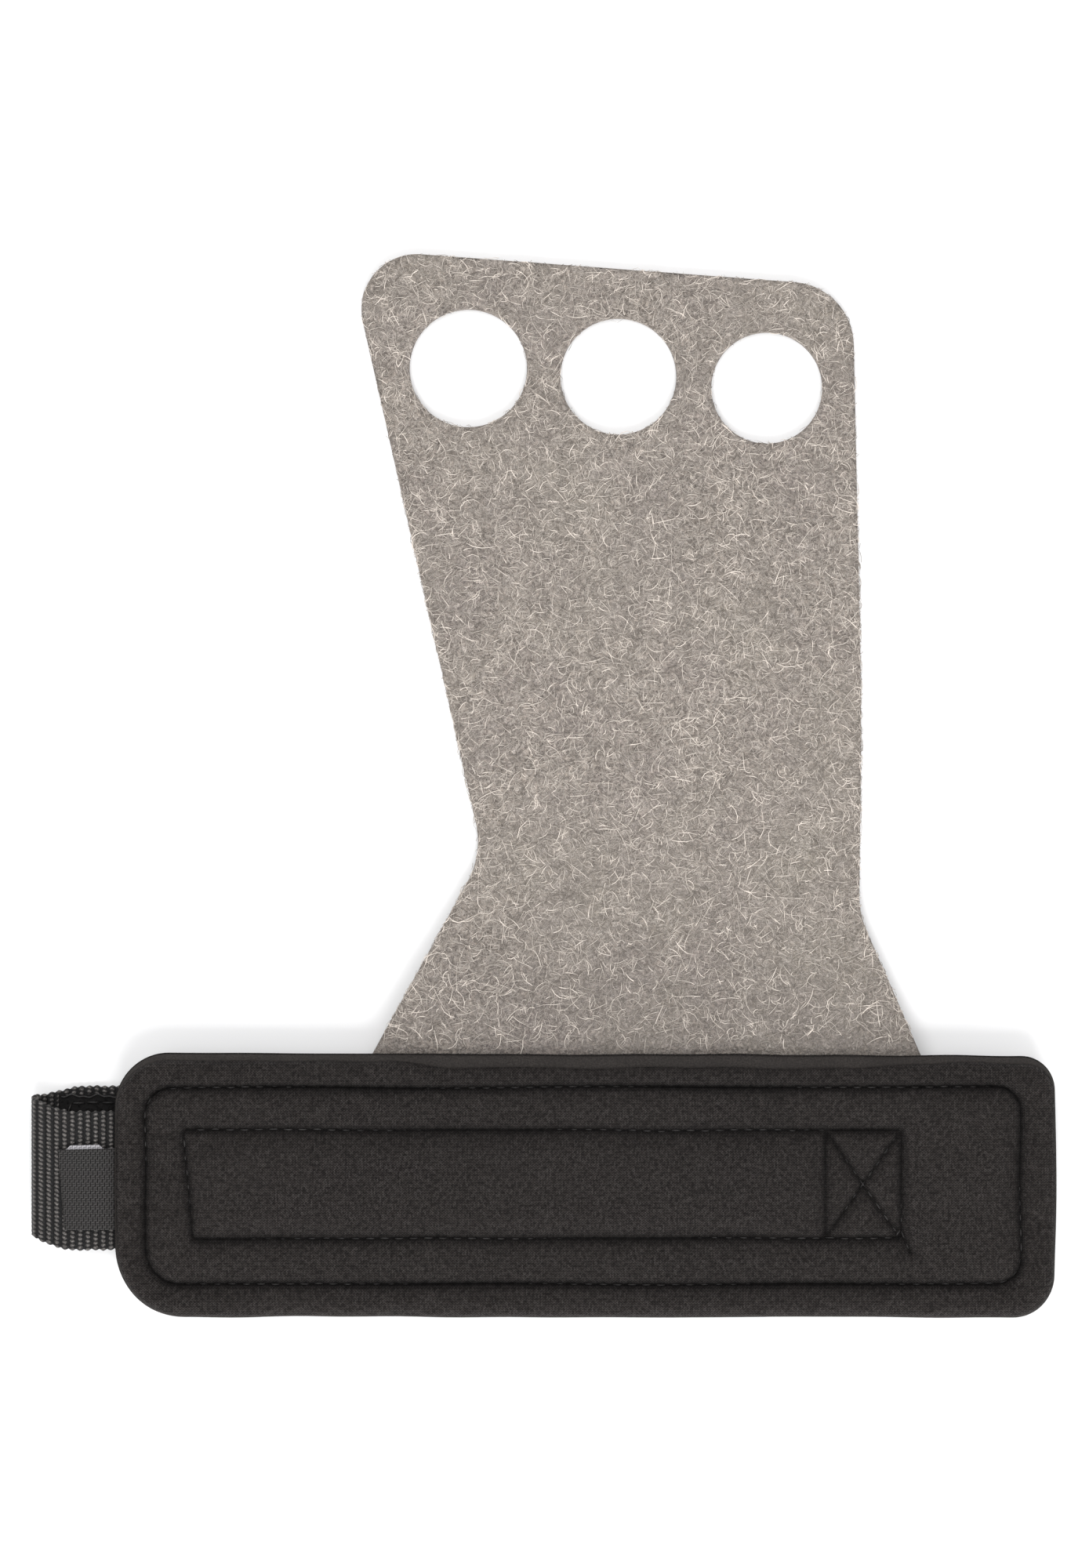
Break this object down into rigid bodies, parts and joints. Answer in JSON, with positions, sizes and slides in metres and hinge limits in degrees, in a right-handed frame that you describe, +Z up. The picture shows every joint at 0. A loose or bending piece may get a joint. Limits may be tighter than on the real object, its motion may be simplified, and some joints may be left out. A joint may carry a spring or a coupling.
{
  "type": "palm grip",
  "caption": "Suede palm grip with finger holes, a padded wrist cuff, and a webbing strap with hook and loop tape and a steel ring.",
  "frame": {"origin": "middle of the whole grip's footprint, on the surface it lies on", "axes": "+Y from the wrist cuff to the fingers, +Z up through the side the hand lies on, +X along the cuff to the ring end"},
  "size_m": [0.1862, 0.194, 0.0111],
  "materials": {
    "suede": "brushed, napped, matt",
    "jersey": "fine knitted, matt",
    "foam": "cut closed-cell foam, matt",
    "panel_cloth": "woven, matt",
    "webbing": "ribbed weave, slight sheen",
    "loop_pile": "looped pile, matt",
    "hook_tape": "moulded hooks on woven tape",
    "thread": "twisted, slight gloss",
    "ring_steel": "polished plating",
    "label_satin": "satin weave, soft sheen"
  },
  "bodies": {
    "wrist": {"pad_inner_jersey": "jersey", "pad_foam_core": "foam", "pad_outer_jersey": "jersey", "outer_panel": "panel_cloth", "palm_leather_tab": "suede", "strap_sewn_run": "webbing", "sewn_loop_tape": "loop_pile", "label_root": "label_satin", "perimeter_needle_thread": "thread", "perimeter_bobbin_thread": "thread", "leather_bobbin_thread": "thread", "strap_needle_thread": "thread", "box_needle_thread": "thread", "strap_bobbin_thread": "thread", "box_bobbin_thread": "thread"},
    "palm": {"palm_leather": "suede"},
    "fingers": {"finger_leather": "suede"},
    "strap_fold": {"strap_bend": "webbing"},
    "strap_end": {"strap_free_run": "webbing", "free_loop_tape": "loop_pile", "hook_tape": "hook_tape", "free_loop_needle_thread": "thread", "free_loop_bobbin_thread": "thread", "hook_needle_thread": "thread", "hook_bobbin_thread": "thread"},
    "ring": {"strap_ring": "ring_steel"},
    "label": {"label_flap": "label_satin"}
  },
  "joints": [
    {"name": "wrist_fold", "type": "hinge", "parent": "wrist", "child": "palm", "pos_m": [0.0192, -0.04709, 0.005], "axis": [1, 0, 0], "range_deg": [-60, 90]},
    {"name": "finger_fold", "type": "hinge", "parent": "palm", "child": "fingers", "pos_m": [0.0153, 0.05931, 0.001], "axis": [1, 0, 0], "range_deg": [-90, 60]},
    {"name": "strap_turn", "type": "hinge", "parent": "wrist", "child": "strap_fold", "pos_m": [-0.08995, -0.06919, 0.006], "axis": [0, 1, 0], "range_deg": [0, 90]},
    {"name": "strap_open", "type": "hinge", "parent": "strap_fold", "child": "strap_end", "pos_m": [-0.08995, -0.06919, 0], "axis": [0, 1, 0], "range_deg": [0, 90]},
    {"name": "ring_swing", "type": "hinge", "parent": "wrist", "child": "ring", "pos_m": [0.0723, -0.07289, 0.00305], "axis": [0, 1, 0], "range_deg": [0, 150]},
    {"name": "label_lift", "type": "hinge", "parent": "wrist", "child": "label", "pos_m": [-0.0782, -0.07379, 0.00645], "axis": [0, 1, 0], "range_deg": [0, 80]}
  ],
  "couplings": [
    {"joint": "strap_turn", "follows": "strap_open", "ratio": 1}
  ]
}
